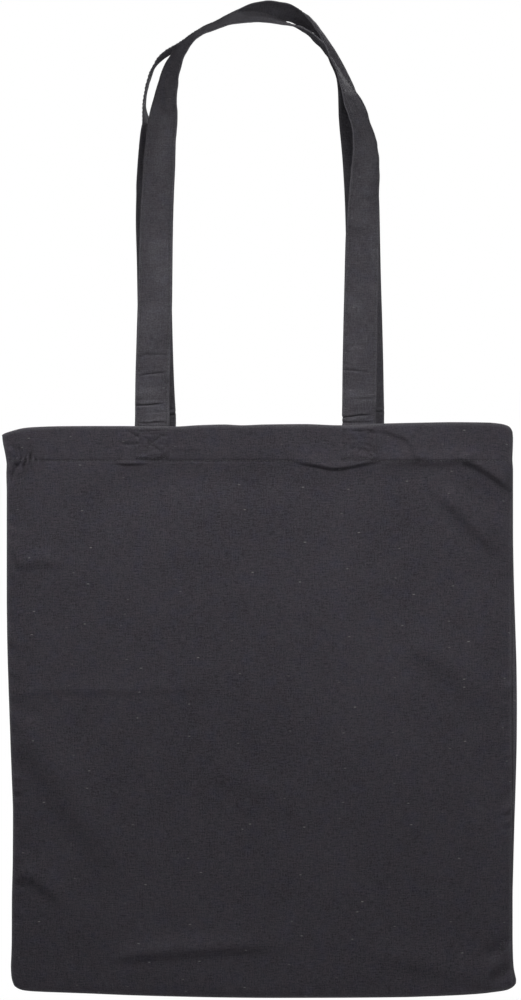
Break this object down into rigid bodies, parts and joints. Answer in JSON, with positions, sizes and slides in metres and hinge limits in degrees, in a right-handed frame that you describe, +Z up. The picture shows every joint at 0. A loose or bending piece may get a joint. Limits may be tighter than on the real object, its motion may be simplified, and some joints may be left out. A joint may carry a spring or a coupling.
{
  "type": "tote bag",
  "caption": "Flat canvas tote bag with long shoulder handles sewn inside a hemmed open mouth; it hangs from a hook or shoulder by its handles.",
  "frame": {"origin": "on the underside of the back handle's crown, where a hook or peg carries the hanging bag", "axes": "+Z up along the hanging bag, +X along the mouth to the viewer's right, and the front faces -Y"},
  "size_m": [0.376, 0.0511, 0.7418],
  "materials": {
    "canvas": "matt plain-weave cotton canvas, charcoal black",
    "strap_canvas": "matt folded cotton canvas, charcoal black",
    "thread": "matt sewing thread, black"
  },
  "bodies": {
    "back_handle": {"back_handle": "strap_canvas", "back_handle_stitching": "thread"},
    "bag": {"back_panel": "canvas", "back_hem": "canvas", "left_side_seam": "canvas", "right_side_seam": "canvas", "bottom_seam": "canvas", "left_seam_overlock": "thread", "right_seam_overlock": "thread", "bottom_seam_overlock": "thread", "back_handle_left_end": "strap_canvas", "back_handle_right_end": "strap_canvas", "back_hem_stitching": "thread", "back_left_cross_stitch": "thread", "back_right_cross_stitch": "thread"},
    "front_panel": {"front_panel": "canvas", "front_hem": "canvas", "front_handle_left_end": "strap_canvas", "front_handle_right_end": "strap_canvas", "front_hem_stitching": "thread", "front_left_cross_stitch": "thread", "front_right_cross_stitch": "thread"},
    "front_handle": {"front_handle": "strap_canvas", "front_handle_stitching": "thread"}
  },
  "joints": [
    {"name": "back_handle_fold", "type": "hinge", "parent": "back_handle", "child": "bag", "pos_m": [0, 0.0016, -0.3087], "axis": [1, 0, 0], "range_deg": [0, 170]},
    {"name": "mouth_open", "type": "hinge", "parent": "bag", "child": "front_panel", "pos_m": [0, -0.014, -0.7334], "axis": [1, 0, 0], "range_deg": [0, 7], "stiffness_Nm_per_rad": 0.4, "springref_deg": -2.86},
    {"name": "front_handle_fold", "type": "hinge", "parent": "front_panel", "child": "front_handle", "pos_m": [0, -0.031, -0.3087], "axis": [1, 0, 0], "range_deg": [0, 170]}
  ]
}
